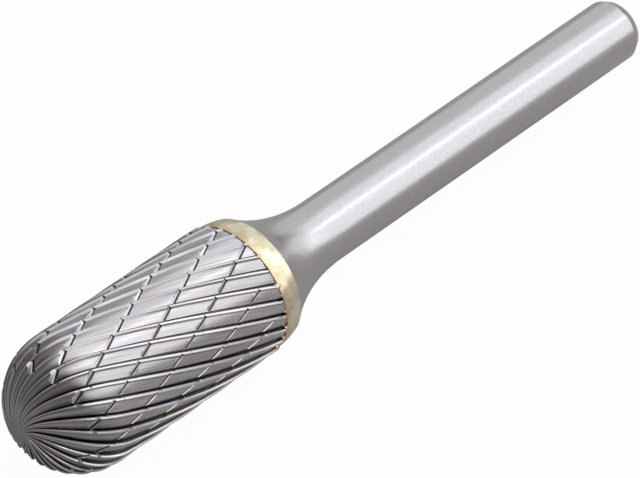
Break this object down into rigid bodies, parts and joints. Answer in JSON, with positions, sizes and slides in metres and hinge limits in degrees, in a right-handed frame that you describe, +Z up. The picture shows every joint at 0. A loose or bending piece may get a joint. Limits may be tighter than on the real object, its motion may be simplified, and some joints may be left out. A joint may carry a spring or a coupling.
{
  "type": "carbide burr",
  "caption": "Rotary burr with a ball-nosed cylindrical carbide head, helical double-cut teeth and a flared round steel shank.",
  "frame": {"origin": "on the floor that the burr lies on, below the middle of its overall length and below the tool axis", "axes": "+X along the tool axis, from the ball nose to the free end of the shank; +Z up, with the head lying on its barrel and the axis level"},
  "size_m": [0.0762, 0.0126, 0.0127],
  "materials": {
    "carbide": "satin",
    "braze": "satin",
    "steel": "satin"
  },
  "bodies": {
    "root": {"carbide_head": "carbide", "braze_joint": "braze", "steel_shank": "steel"}
  },
  "joints": []
}
